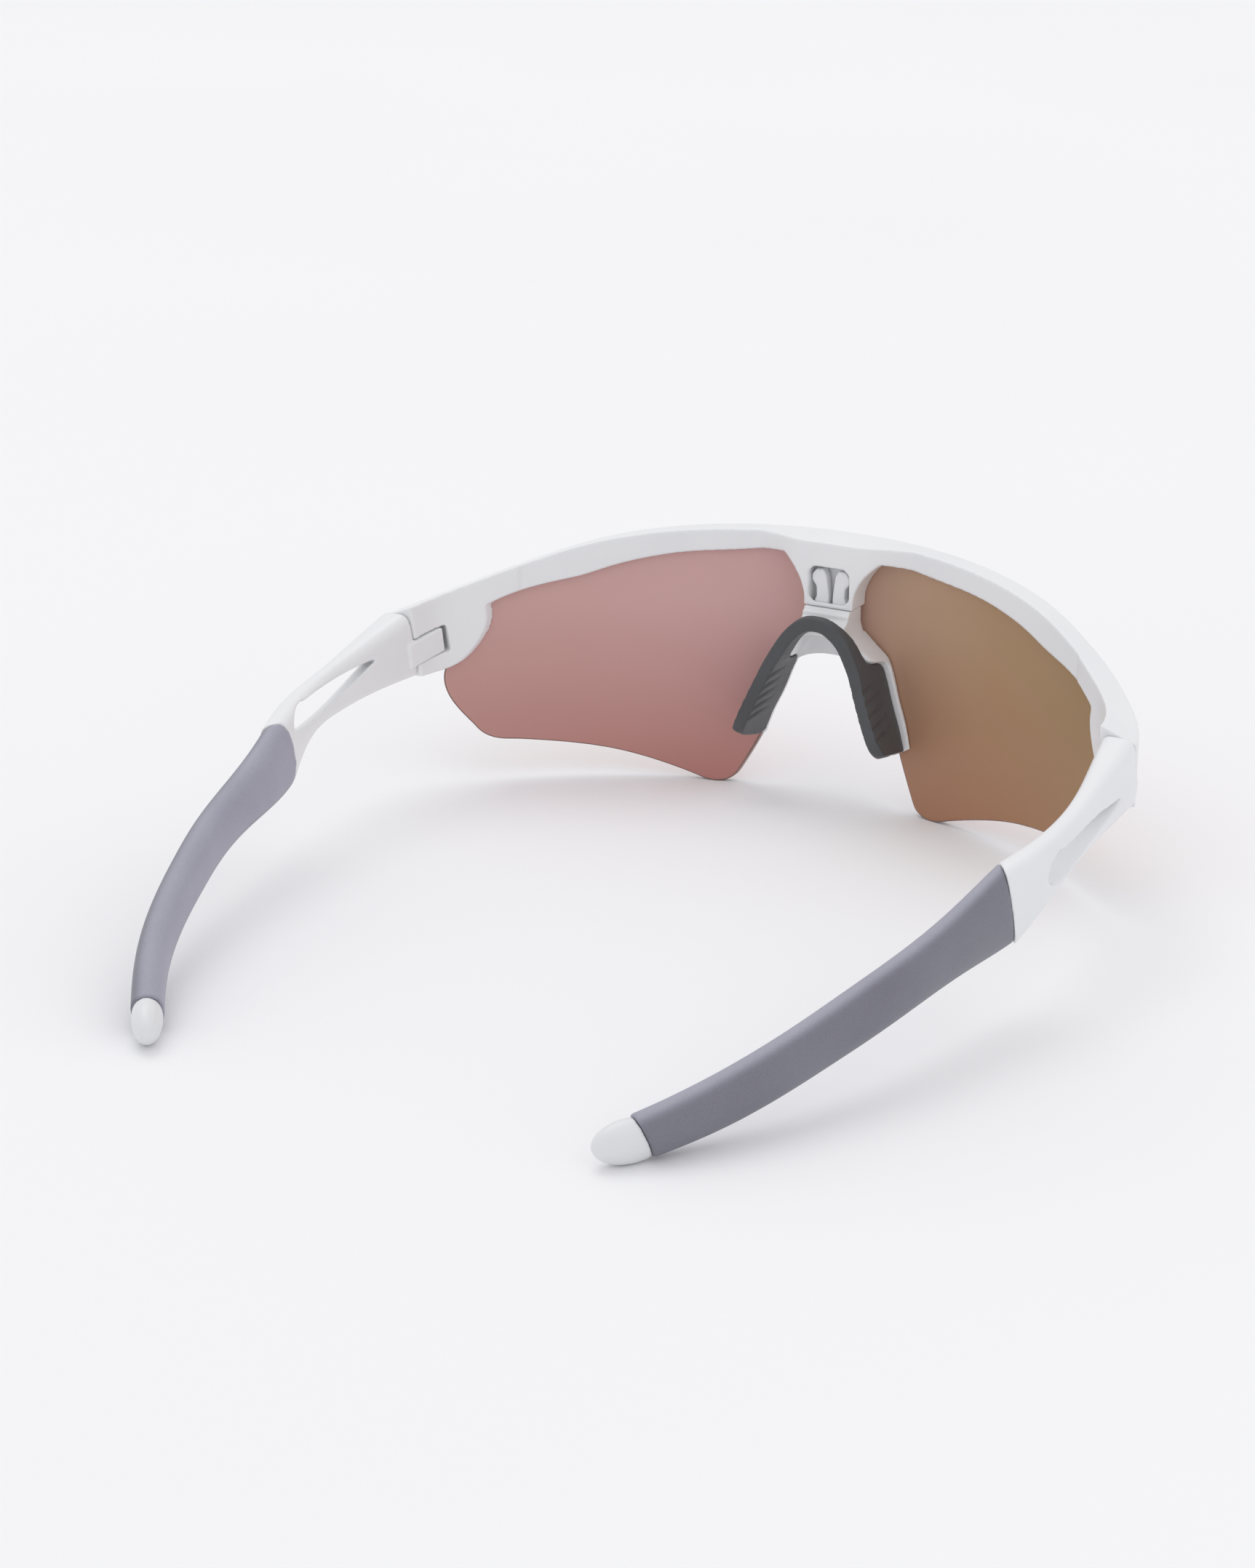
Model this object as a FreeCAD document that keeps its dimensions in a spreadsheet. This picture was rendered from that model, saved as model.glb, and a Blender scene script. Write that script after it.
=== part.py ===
import FreeCAD, Part
import math
import os

from FreeCAD import Placement, Rotation, Vector

# Wraparound sport sunglasses, millimetres.
# +X is the wearer's left, -Y is the direction of gaze, +Z is up and the table top is z = 0.
# Drawings below use a working origin at the lens's lower edge; "drawn_centre" is how far behind it
# the middle of the bounding box lies, and every finished node is moved ahead by that much.

DIMENSIONS = {
    # lens surface: a toric shell, curved about a leaning near-vertical axis
    "wrap_radius": 84.8,
    "arch_radius": 221.0,
    "lens_lean": 7.2,
    "wrap_axis_depth": 80.2,
    "wrap_axis_height": 26.3,
    "wrap_half_angle": 62.0,
    "shell_half_height": 34.0,
    "lens_thickness": 1.6,
    # brow frame, as offsets from the lens's rear face
    "brow_behind": 1.3,
    "brow_ahead": 3.1,
    "fit_gap": 0.12,
    # bridge post and the pocket that the nose bracket snaps into
    "post_rear": 0.3,
    "post_foot": 36.6,
    "pocket_half_width": 4.0,
    "pocket_rear_wall": 0.9,
    "pocket_depth": 3.2,
    "window_foot": 37.4,
    "window_head": 44.1,
    "window_corner": 1.0,
    # nose piece
    "pad_thickness": 2.4,
    "pad_front_thickness": 3.1,
    "plate_inside": 1.2,
    "plate_outside": 2.6,
    "tongue_thickness": 1.0,
    # hinge
    "hinge_side": 67.4,
    "hinge_depth": 28.7,
    "hinge_height": 28.2,
    "hinge_lean": 11.0,
    "seam_offset": 5.6,
    "seam_gap": 0.25,
    "tenon_height": 4.8,
    "tenon_radius": 2.1,
    "tenon_sweep": 2.97,
    "slot_gap": 0.15,
    "screw_radius": 0.9,
    "running_gap": 0.05,
    "screw_head_radius": 1.7,
    "screw_head_height": 1.2,
    "screw_length": 10.0,
    # temple
    "stem_half_width": 1.15,
    "stem_half_height": 2.3,
    "stem_gap": 0.05,
    "sleeve_half_width": 2.6,
    "tip_half_length": 5.9,
    "tip_half_width": 2.45,
    "tip_half_height": 3.45,
    "drawn_centre": 72.0,
}

SIDES = {"left": 1, "right": -1}
REACH = 200.0

doc = FreeCAD.newDocument("sport_sunglasses")
sheet = doc.addObject("Spreadsheet::Sheet", "Sizes")
for row, (alias, value) in enumerate(DIMENSIONS.items(), start=1):
    sheet.set(f"A{row}", alias)
    sheet.set(f"B{row}", str(value))
    sheet.setAlias(f"B{row}", alias)
doc.recompute()


def size(alias):
    return float(sheet.get(alias))


# ---------------------------------------------------------------- drawing helpers

VIEWS = {
    "front": (Rotation(Vector(1, 0, 0), 90), Vector(0, -1, 0)),
    "side": (Rotation(Vector(1, 1, 1), 120), Vector(1, 0, 0)),
    "plan": (Rotation(), Vector(0, 0, 1)),
}


def curve(points):
    """A straight line through two points, or a smooth spline through more."""
    corners = [Vector(u, v, 0) for u, v in points]
    if len(corners) == 2:
        return Part.LineSegment(*corners)
    spline = Part.BSplineCurve()
    spline.interpolate(corners)
    return spline


def outline(name, view, stretches):
    """A closed sketch: each stretch is joined to the next by its shared end or by a line."""
    sketch = doc.addObject("Sketcher::SketchObject", name)
    sketch.Placement = Placement(Vector(), VIEWS[view][0])
    for index, stretch in enumerate(stretches):
        sketch.addGeometry(curve(stretch), False)
        following = stretches[(index + 1) % len(stretches)][0]
        if math.dist(stretch[-1], following) > 1e-6:
            sketch.addGeometry(curve([stretch[-1], following]), False)
    return sketch


def prism(name, view, stretches):
    """An outline pushed through the whole object at right angles to its view."""
    solid = doc.addObject("Part::Extrusion", name)
    solid.Base = outline(name + "_outline", view, stretches)
    solid.DirMode = "Custom"
    solid.Dir = VIEWS[view][1]
    solid.LengthFwd = 2 * REACH
    solid.Symmetric = True
    solid.Solid = True
    return solid


def combine(kind, name, base, tool):
    result = doc.addObject(kind, name)
    result.Base = base
    result.Tool = tool
    return result


def common(name, base, tool):
    return combine("Part::Common", name, base, tool)


def cut(name, base, tool):
    return combine("Part::Cut", name, base, tool)


def fuse(name, shapes):
    result = doc.addObject("Part::MultiFuse", name)
    result.Shapes = shapes
    result.Refine = True
    return result


def box(name, low, high):
    block = doc.addObject("Part::Box", name)
    block.Length, block.Width, block.Height = [b - a for a, b in zip(low, high)]
    block.Placement = Placement(Vector(*low), Rotation())
    return block


def mirrored(points, side):
    return [(side * u, v) for u, v in points]


def straight(corners):
    """The stretches of a closed polygon."""
    return [[a, b] for a, b in zip(corners, corners[1:] + corners[:1])]


# ---------------------------------------------------------------- the wrapped shell

def shell(name, behind, ahead):
    """The lens surface thickened, from "behind" its rear face to "ahead" of it."""
    lean = math.radians(size("lens_lean"))
    axis_foot = Vector(0, size("wrap_axis_depth"), size("wrap_axis_height"))
    axis = Vector(0, -math.sin(lean), math.cos(lean))
    rearward = Vector(0, math.cos(lean), math.sin(lean))
    arch = size("arch_radius")
    centre = axis_foot + rearward * (arch - size("wrap_radius"))
    half = size("shell_half_height")

    def arc(offset):
        radius = arch + offset
        fan = math.asin(half / radius)
        rim = [centre - rearward * radius * math.cos(a) + axis * radius * math.sin(a)
               for a in (-fan, 0, fan)]
        return [(p.y, p.z) for p in rim]

    sketch = doc.addObject("Sketcher::SketchObject", name + "_profile")
    sketch.Placement = Placement(Vector(), VIEWS["side"][0])
    rear, front = arc(-behind), arc(ahead)
    for rim in (rear, front):
        sketch.addGeometry(Part.Arc(*[Vector(u, v, 0) for u, v in rim]), False)
    for end in (0, 2):
        sketch.addGeometry(curve([rear[end], front[end]]), False)
    wrap = doc.addObject("Part::Revolution", name)
    wrap.Source = sketch
    wrap.Base = axis_foot
    wrap.Axis = axis
    wrap.Symmetric = True
    wrap.Solid = True
    wrap.setExpression("Angle", "2 * Sizes.wrap_half_angle")
    return wrap


# ---------------------------------------------------------------- lens

# visible lower and outer edge of the lens, from the nose notch outwards, as (x, z)
LENS_FOOT = [(18.2, 1.6), (20.2, 0.25), (22.6, 0.0), (25.5, 0.8)]
LENS_LOWER = [(25.5, 0.8), (32.4, 3.0), (40.2, 5.1), (48.2, 6.5), (56.0, 7.6)]
LENS_CORNER = [(56.0, 7.6), (58.6, 8.1), (60.2, 9.2), (61.2, 10.6)]
LENS_OUTER = [(61.2, 10.6), (63.8, 14.5), (65.2, 17.6), (65.7, 20.2), (65.0, 24.0)]
LENS_TOP = [(63.0, 30.0), (60.0, 36.4), (50.0, 40.0), (40.0, 42.8), (28.0, 45.2), (14.0, 46.2)]
NOTCH_SIDE = [(18.2, 1.6), (15.4, 7.0), (13.4, 11.5), (11.2, 18.0), (8.6, 24.4), (5.4, 29.4)]
NOTCH_ARCH = [(-5.4, 29.4), (0.0, 31.6), (5.4, 29.4)]


def lens_stretches(grow):
    """The lens outline, with its hidden top and ends grown by "grow"."""
    left_top = [(x + grow * 0.6, z + grow) for x, z in LENS_TOP]
    left = [NOTCH_SIDE[::-1], LENS_FOOT, LENS_LOWER, LENS_CORNER, LENS_OUTER]
    if grow:
        left = [NOTCH_SIDE[::-1], LENS_FOOT, LENS_LOWER, LENS_CORNER,
                LENS_OUTER[:-1] + [(65.0 + grow, 24.0)]]
    right = [mirrored(stretch[::-1], -1) for stretch in left[::-1]]
    head = left_top + mirrored(left_top[::-1], -1)
    return left + [head] + right + [NOTCH_ARCH]


def shield_lens():
    blank = shell("lens_blank", 0.0, size("lens_thickness"))
    return common("shield_lens", blank, prism("lens_front", "front", lens_stretches(0.0)))


# ---------------------------------------------------------------- brow frame

BROW_TOP = [(0.0, 48.8), (15.0, 48.5), (28.0, 47.6), (38.0, 46.2), (45.0, 44.6),
            (52.0, 42.2), (60.0, 39.0), (67.0, 36.0), (76.0, 32.4)]
POST_SIDE = [(4.9, 36.6), (5.2, 39.8), (6.9, 43.0), (9.6, 45.6)]
BROW_LOWER = [(9.6, 45.6), (13.0, 45.2), (20.0, 44.2), (29.0, 43.2), (36.0, 41.8), (42.0, 40.0),
              (46.0, 38.5), (50.0, 37.5), (55.0, 36.1), (59.6, 33.8)]
LOBE_FRONT = [(59.6, 33.8), (59.5, 30.0), (61.0, 26.2), (63.0, 23.4), (66.0, 22.2)]
LOBE_OUTER = [(55.0, 10.7), (60.0, 15.0), (66.2, 21.8), (70.6, 28.4), (72.9, 35.0), (73.2, 40.0)]
LOBE_INNER = [(66.7, 40.0), (66.4, 34.0), (65.2, 29.6), (61.0, 23.3), (55.0, 16.9)]


def frame_front():
    """The frame's outline in the front view, both halves."""
    lower = [POST_SIDE, BROW_LOWER, LOBE_FRONT]
    left = lower + [[(76.0, 21.6), BROW_TOP[-1]]]
    right = [mirrored(stretch[::-1], -1) for stretch in left[::-1]]
    head = BROW_TOP[::-1] + mirrored(BROW_TOP[1:], -1)
    return prism("frame_front", "front", left + [head] + right)


def lobe(label, side):
    """The frame's end, which turns from the wrap to the line of the temple."""
    plan = prism(label + "_lobe_plan", "plan",
                 [mirrored(LOBE_OUTER, side), mirrored(LOBE_INNER, side)])
    return common(label + "_lobe", plan, behind_seam(label + "_lobe_side", -1, 0.0))


def behind_seam(name, direction, gap):
    """Half space ahead of the temple seam (direction -1) or behind it (+1)."""
    lean = math.tan(math.radians(size("hinge_lean")))
    depth = size("hinge_depth") + size("seam_offset") + gap
    height = size("hinge_height")
    low, high = height - 40.0, height + 40.0
    far = depth + direction * REACH
    seam = [(depth + (z - height) * lean, z) for z in (low, high)]
    return prism(name, "side", [seam, [(far, high), (far, low)]])


def bridge_post():
    """The post in the middle of the brow: deep at the centre and faired into the brow."""
    rear = size("post_rear")
    fairing = [(17.0, -3.2), (12.0, -1.9), (8.0, -0.3), (5.2, rear)]
    front = [(-17.0, -3.6), (0.0, -5.7), (17.0, -3.6)]
    left_fairing = mirrored(fairing[::-1], -1)
    return prism("bridge_post_plan", "plan",
                 [fairing, [(5.2, rear), (-5.2, rear)], left_fairing, front])


def post_pocket():
    """The pocket that the bracket's prongs rise into, with its window to the rear."""
    half = size("pocket_half_width")
    rear = size("post_rear")
    wall = size("pocket_rear_wall")
    head = size("window_head")
    channel = box("pocket_channel", (-half, rear - size("pocket_depth"), 30.0),
                  (half, rear - wall, head))
    foot = size("window_foot")
    corner = size("window_corner")
    quarter = [(half, foot + corner), (half, head - corner), (half - corner, head)]
    quarter += mirrored(quarter[::-1], -1) + [(corner - half, foot), (half - corner, foot)]
    window = common("pocket_window", prism("window_front", "front", straight(quarter)),
                    box("window_depth", (-half, rear - wall - 0.5, foot), (half, rear + 5.0, head)))
    return fuse("post_pocket", [channel, window])


def hinge_placement(side, along=0.0):
    """Local +Z along the hinge axis; local origin "along" it from the hinge centre."""
    lean = Rotation(Vector(1, 0, 0), -size("hinge_lean"))
    centre = Vector(side * size("hinge_side"), size("hinge_depth"), size("hinge_height"))
    return Placement(centre, lean).multiply(Placement(Vector(0, 0, along), Rotation()))


def hinge_cylinder(name, side, radius, low, high):
    """A cylinder on the hinge axis; "radius" is an expression on the sheet."""
    cylinder = doc.addObject("Part::Cylinder", name)
    cylinder.setExpression("Radius", radius)
    cylinder.Height = high - low
    cylinder.Placement = hinge_placement(side, low)
    return cylinder


def hinge_block(name, side, low, high):
    """A box in the hinge's own directions; its x runs outwards on either side."""
    block = doc.addObject("Part::Box", name)
    block.Length, block.Width, block.Height = [b - a for a, b in zip(low, high)]
    inner = low[0] if side > 0 else -high[0]
    offset = Placement(Vector(inner, low[1], low[2]), Rotation())
    block.Placement = hinge_placement(side).multiply(offset)
    return block


def hinge_prism(name, side, corners, half_height):
    """A plan polygon in the hinge's own directions, its x measured outwards on either side."""
    solid = doc.addObject("Part::Extrusion", name)
    base = doc.addObject("Part::Feature", name + "_plan")
    ring = [Vector(side * u, v, -half_height) for u, v in corners]
    base.Shape = Part.Face(Part.makePolygon(ring + ring[:1]))
    base.Placement = hinge_placement(side)
    solid.Base = base
    solid.DirMode = "Custom"
    solid.Dir = hinge_placement(side).Rotation.multVec(Vector(0, 0, 1))
    solid.LengthFwd = 2 * half_height
    solid.Solid = True
    return solid


# plan of the tenon and of the slot about the hinge axis: outwards, rearwards
TENON_PLAN = [(-2.85, -0.8), (-0.9, 7.6), (2.1, 7.6), (2.1, 0.0), (0.0, -0.8)]
SLOT_PLAN = [(0.19, -3.1), (-3.88, -1.22), (-12.0, 2.6), (-12.0, 14.0), (2.3, 14.0), (2.3, 0.0)]


def hinge_slot(label, side):
    """The slot that the temple's tenon turns in: open towards the head, closed on the outside."""
    half = size("tenon_height") / 2 + size("slot_gap")
    knuckle = hinge_cylinder(label + "_slot_end", side, "Sizes.tenon_radius + Sizes.slot_gap",
                             -half, half)
    sweep = hinge_cylinder(label + "_slot_sweep", side, "Sizes.tenon_sweep + Sizes.slot_gap",
                           -half, half)
    inner_half = hinge_block(label + "_slot_inner", side, (-4.0, -4.0, -half), (0.25, 4.0, half))
    swing = hinge_prism(label + "_slot_swing", side, SLOT_PLAN, half)
    return fuse(label + "_slot", [knuckle, common(label + "_slot_turn", sweep, inner_half),
                                  swing])


# the screw's lower end, below the hinge centre along its axis
SCREW_LOW = -5.6
DRIVE_HALF_WIDTH = 0.2
DRIVE_DEPTH = 0.5


def front_frame():
    brow = shell("brow_blank", size("brow_behind"), size("brow_ahead"))
    inboard = box("brow_span", (-61.0, -REACH, -REACH), (61.0, REACH, REACH))
    band = common("brow_band", brow, inboard)
    lobes = [lobe(label, side) for label, side in SIDES.items()]
    solid = fuse("frame_solid", [band, bridge_post()] + lobes)
    solid = common("frame_trimmed", solid, frame_front())
    gap = size("fit_gap")
    groove = common("lens_groove", shell("groove_blank", gap, size("lens_thickness") + gap),
                    prism("groove_front", "front", lens_stretches(0.4)))
    hollows = [groove, post_pocket()]
    for label, side in SIDES.items():
        hollows.append(hinge_slot(label, side))
        hollows.append(hinge_cylinder(label + "_screw_bore", side, "Sizes.screw_radius",
                                      SCREW_LOW, SCREW_LOW + size("screw_length")))
        hollows.append(hinge_cylinder(label + "_head_bore", side, "Sizes.screw_head_radius",
                                      -REACH / 10, SCREW_LOW + size("screw_head_height")))
    return cut("front_frame", solid, fuse("frame_hollows", hollows))


def hinge_screw(label, side):
    low = SCREW_LOW
    shank = hinge_cylinder(label + "_screw_shank", side, "Sizes.screw_radius",
                           low, low + size("screw_length"))
    head = hinge_cylinder(label + "_screw_head", side, "Sizes.screw_head_radius",
                          low, low + size("screw_head_height"))
    drive = hinge_block(label + "_screw_drive", side, (-3.0, -DRIVE_HALF_WIDTH, low - 1.0),
                        (3.0, DRIVE_HALF_WIDTH, low + DRIVE_DEPTH))
    solid = fuse(label + "_screw_solid", [shank, head])
    return cut(label + "_hinge_screw", solid, drive)


# ---------------------------------------------------------------- nose piece

# stations down one leg of the pad: half width, depth and height of its rear edge, how far it
# reaches towards the lens, and how much it leans inwards and rises on the way there
NOSE_STATIONS = [
    (2.6, 6.0, 34.3, 1.9, 0.05, -0.05), (5.6, 5.9, 31.6, 3.0, 0.10, 0.0),
    (8.1, 6.5, 27.4, 4.4, 0.08, 0.03), (8.8, 6.9, 25.9, 9.3, 0.05, 0.05),
    (10.0, 7.6, 23.0, 10.2, 0.04, 0.04), (11.7, 8.3, 19.0, 10.4, 0.07, 0.04),
    (13.3, 8.5, 15.2, 9.8, 0.05, -0.01), (14.5, 7.7, 12.6, 8.7, 0.04, -0.21),
]
NOSE_ARCH = (0.0, 6.0, 34.9, 1.8, 0.0, -0.10)
STATION_PARTS = 3
# the rounded foot of both legs in the side view
PAD_FOOT = [(9.8, 17.5), (8.7, 14.2), (7.0, 12.2), (4.4, 11.3), (0.8, 10.7), (-1.3, 11.5),
            (-2.0, 14.0)]


def leg(side):
    """The stations of one leg, from the arch down."""
    return [(side * x, y, z, reach, side * inward, rise)
            for x, y, z, reach, inward, rise in NOSE_STATIONS]


def refined(stations):
    """More stations on a smooth line (Catmull-Rom) through the given ones."""
    last = len(stations) - 1
    fine = []
    for index in range(last):
        four = [stations[min(max(index + shift, 0), last)] for shift in (-1, 0, 1, 2)]
        for part in range(STATION_PARTS):
            share = part / STATION_PARTS
            fine.append(tuple(
                b + share * ((c - a) + share * ((2 * a - 5 * b + 4 * c - d)
                                                + share * (3 * b - a - 3 * c + d))) / 2
                for a, b, c, d in zip(*four)))
    return fine + [stations[-1]]


def slab(stations, rear_thickness, front_thickness, start, depth):
    """A wall along the stations, lying from "start" to "depth" ahead of the pad's rear edge."""
    points = [Vector(*row[:3]) for row in stations]
    sections = []
    for index, row in enumerate(stations):
        before = points[max(index - 1, 0)]
        after = points[min(index + 1, len(points) - 1)]
        along = (after - before).normalize()
        ahead = Vector(-row[4], -1.0, row[5]).normalize()
        across = along.cross(ahead).normalize()
        near = points[index] + ahead * start(row[3])
        far = points[index] + ahead * depth(row[3])
        rear = across * (rear_thickness / 2)
        front = across * (front_thickness / 2)
        corners = [near - rear, near + rear, far + front, far - front]
        sections.append(Part.makePolygon(corners + corners[:1]))
    return Part.makeLoft(sections, True, True)


def shape_object(name, shape):
    """A solid set directly: a swept U that no sketch-based feature builds."""
    holder = doc.addObject("Part::Feature", name)
    holder.Shape = shape
    return holder


def nose_arch():
    """Stations of the whole U, from the right foot over the arch to the left foot."""
    return refined(leg(-1)[::-1] + [NOSE_ARCH] + leg(1))


def nose_tongue(grow):
    thickness = size("tongue_thickness") + grow
    return slab(nose_arch(), thickness, thickness,
                lambda reach: reach * 0.55, lambda reach: reach + 0.5)


def lens_rear_face(across, height):
    """Depth of the lens's rear face at a point of the front view."""
    lean = math.radians(size("lens_lean"))
    arch = size("arch_radius")
    wrap = size("wrap_radius")
    rise = height - size("wrap_axis_height")
    depth = -wrap
    for _ in range(8):
        along_axis = rise * math.cos(lean) - depth * math.sin(lean)
        radius = wrap - arch + math.sqrt(arch ** 2 - along_axis ** 2)
        depth = (-math.sqrt(radius ** 2 - across ** 2) - rise * math.sin(lean)) / math.cos(lean)
    return depth + size("wrap_axis_depth")


def wing_edge(start, ahead):
    """The point just behind the lens that the wing reaches from one point of its rear edge."""
    reach = 0.0
    for _ in range(8):
        point = start + ahead * reach
        gap = point.y - lens_rear_face(point.x, point.z) - 2 * size("fit_gap")
        reach += gap
    return start + ahead * reach


# each wing starts this share of its full width outside the pad and widens over this height
SHOULDER_START = 0.25
SHOULDER_HEIGHT = 7.0


def bracket_wing(side):
    """The plate that carries one leg of the pad and reaches forward to the lens."""
    stations = refined(leg(side)[1:])
    points = [Vector(*row[:3]) for row in stations]
    sections = []
    for index, row in enumerate(stations):
        before = points[max(index - 1, 0)]
        after = points[min(index + 1, len(points) - 1)]
        ahead = Vector(-row[4], -1.0, row[5]).normalize()
        inward = (after - before).cross(ahead).normalize() * side
        near = ahead * (row[3] + 0.08)
        inner = points[index] + inward * size("plate_inside")
        shoulder = min(1.0, SHOULDER_START + (stations[0][2] - row[2]) / SHOULDER_HEIGHT)
        outer = points[index] - inward * size("plate_outside") * shoulder
        corners = [outer + near, inner + near, wing_edge(inner, ahead), wing_edge(outer, ahead)]
        sections.append(Part.makePolygon(corners + corners[:1]))
    name = "left_wing" if side > 0 else "right_wing"
    return shape_object(name, Part.makeLoft(sections, True, True))


def nose_pad():
    body = slab(nose_arch(), size("pad_thickness"), size("pad_front_thickness"),
                lambda reach: 0.0, lambda reach: reach)
    above = prism("pad_foot", "side", [PAD_FOOT, [(-12.0, 14.0), (-12.0, 50.0)],
                                       [(20.0, 50.0), (20.0, 17.5)]])
    body = common("pad_body", shape_object("pad_wall", body), above)
    hollow = shape_object("pad_slot", nose_tongue(2 * size("stem_gap")))
    return cut("nose_pad", body, hollow)


SADDLE_SIDE = [(4.6, 34.0), (5.1, 32.3), (6.0, 30.7), (7.3, 29.5), (8.5, 28.7)]
SADDLE_ARCH = [(8.0, 27.6), (5.4, 30.6), (0.0, 32.4), (-5.4, 30.6), (-8.0, 27.6)]
SADDLE_DEPTH = [(-4.2, 27.0), (-4.2, 37.0), (0.7, 37.0), (0.7, 36.1), (1.3, 35.8), (1.3, 35.0),
                (4.1, 33.4), (4.1, 27.0)]
WEB_EDGE = [(8.3, 23.8), (6.6, 25.6), (3.6, 26.8), (0.0, 27.2), (-3.6, 26.8), (-6.6, 25.6),
            (-8.3, 23.8)]


def prong(side):
    """One snap prong, with its barb turned outwards under the pocket's roof."""
    profile = [(0.35, 31.0), (0.35, 38.4), (0.9, 42.4), (1.5, 43.5), (2.9, 43.4), (3.75, 42.4),
               (3.75, 41.2), (2.9, 40.2), (2.8, 38.4), (3.3, 37.4), (3.3, 31.0)]
    edges = straight(mirrored(profile, side))
    name = "left_prong" if side > 0 else "right_prong"
    plate = prism(name + "_front", "front", edges)
    rear = size("post_rear") - size("pocket_rear_wall") - size("stem_gap")
    depth = size("pocket_depth") - size("pocket_rear_wall") - 0.4
    return common(name, plate, box(name + "_depth", (-5.0, rear - depth, 30.0), (5.0, rear, 50.0)))


def nose_bracket():
    """Saddle under the post, two snap prongs, a web across the notch and a wing along each leg."""
    foot = size("post_foot") - size("stem_gap")
    tongue = shape_object("bracket_tongue", nose_tongue(0.0))
    front = prism("saddle_front", "front",
                  [[(-4.6, foot), (4.6, foot)], SADDLE_SIDE, SADDLE_ARCH,
                   mirrored(SADDLE_SIDE[::-1], -1)])
    side = prism("saddle_side", "side", [list(edge) for edge in zip(SADDLE_DEPTH, SADDLE_DEPTH[1:])])
    saddle = common("bracket_saddle", front, side)
    flank = SADDLE_SIDE + [(9.6, 26.6)]
    web = common("bracket_web",
                 prism("web_front", "front", [flank, WEB_EDGE, mirrored(flank[::-1], -1)]),
                 box("web_depth", (-10.0, -3.6, 20.0), (10.0, -1.9, 36.0)))
    return fuse("nose_bracket", [saddle, web, bracket_wing(1), bracket_wing(-1), tongue,
                                 prong(1), prong(-1)])


# ---------------------------------------------------------------- temples

SECTION_POINTS = 16
# where the blade is thinnest, beside its window, and by how much
WAIST_DEPTH = 57.0
WAIST_THINNING = 1.4
BLADE_HALF_WIDTH = 3.3

# centre line of the temple: depth, side, height, half height of the sleeve
TEMPLE_LINE = [
    (24.0, 68.8, 29.3, 6.9), (34.0, 69.8, 28.5, 6.5), (44.0, 70.7, 27.1, 5.4),
    (55.0, 71.2, 25.3, 4.6), (66.0, 70.7, 23.1, 4.9), (76.0, 68.2, 19.4, 6.8),
    (86.0, 66.2, 17.4, 5.6), (98.0, 64.0, 15.5, 4.7), (112.0, 60.2, 12.6, 4.5),
    (126.0, 55.2, 9.2, 4.2), (136.0, 50.3, 6.5, 4.0), (143.0, 45.8, 4.6, 3.7),
    (150.0, 40.8, 2.9, 3.5),
]


def line_point(side, row):
    return Vector(side * row[1], row[0], row[2])


def line_frames(side, rows):
    """Centre, outward and upward unit vectors at each station of the temple line."""
    frames = []
    for index, row in enumerate(rows):
        before = rows[max(index - 1, 0)]
        after = rows[min(index + 1, len(rows) - 1)]
        along = (line_point(side, after) - line_point(side, before)).normalize()
        outward = along.cross(Vector(0, 0, 1)).normalize() * side
        upward = (outward.cross(along) * side).normalize()
        frames.append((line_point(side, row), outward, upward))
    return frames


def squircle(centre, outward, upward, half_width, half_height, power):
    """A closed superellipse: power 2 is an ellipse and higher powers are squarer."""
    points = []
    for step in range(SECTION_POINTS):
        turn = 2 * math.pi * step / SECTION_POINTS
        cos, sin = math.cos(turn), math.sin(turn)
        u = math.copysign(abs(cos) ** (2 / power), cos) * half_width
        v = math.copysign(abs(sin) ** (2 / power), sin) * half_height
        points.append(centre + outward * u + upward * v)
    ring = Part.BSplineCurve()
    ring.interpolate(points, PeriodicFlag=True)
    return Part.Wire([ring.toShape()])


def bar(name, side, first, last, half_width, half_height, power):
    """A solid swept along the temple line through superellipse sections."""
    rows = [row for row in TEMPLE_LINE if first <= row[0] <= last]
    rings = []
    for row, (centre, outward, upward) in zip(rows, line_frames(side, rows)):
        rings.append(squircle(centre, outward, upward, half_width(row), half_height(row),
                              power(row)))
    return shape_object(name, Part.makeLoft(rings, True, False))


def end_direction():
    before, after = TEMPLE_LINE[-2], TEMPLE_LINE[-1]
    step = Vector(after[1] - before[1], after[0] - before[0], after[2] - before[2])
    return step.normalize()


SLEEVE_FRONT = [(72.6, 12.0), (74.0, 17.0), (77.4, 27.5)]
SLEEVE_FRONT_SIDE = 67.3
SLEEVE_FRONT_RAKE = 1.2
SLEEVE_END_TILT = 0.22
SLEEVE_END_SETBACK = -2.0
TIP_CENTRE = (42.4, 147.8, 3.45)


def sleeve_zone(name, side, gap):
    """Everything behind the sleeve's front end, which slants and runs further back outside."""
    front = [(depth + gap, height) for depth, height in SLEEVE_FRONT]
    foot, head = front[0], front[-1]
    zone = prism(name, "side", [[(foot[0], -REACH), foot], front, [head, (head[0], REACH)],
                                [(2 * REACH, REACH), (2 * REACH, -REACH)]])
    zone.Base.Placement.Base.x = side * SLEEVE_FRONT_SIDE
    zone.Dir = Vector(side, SLEEVE_FRONT_RAKE, 0)
    return zone


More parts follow.
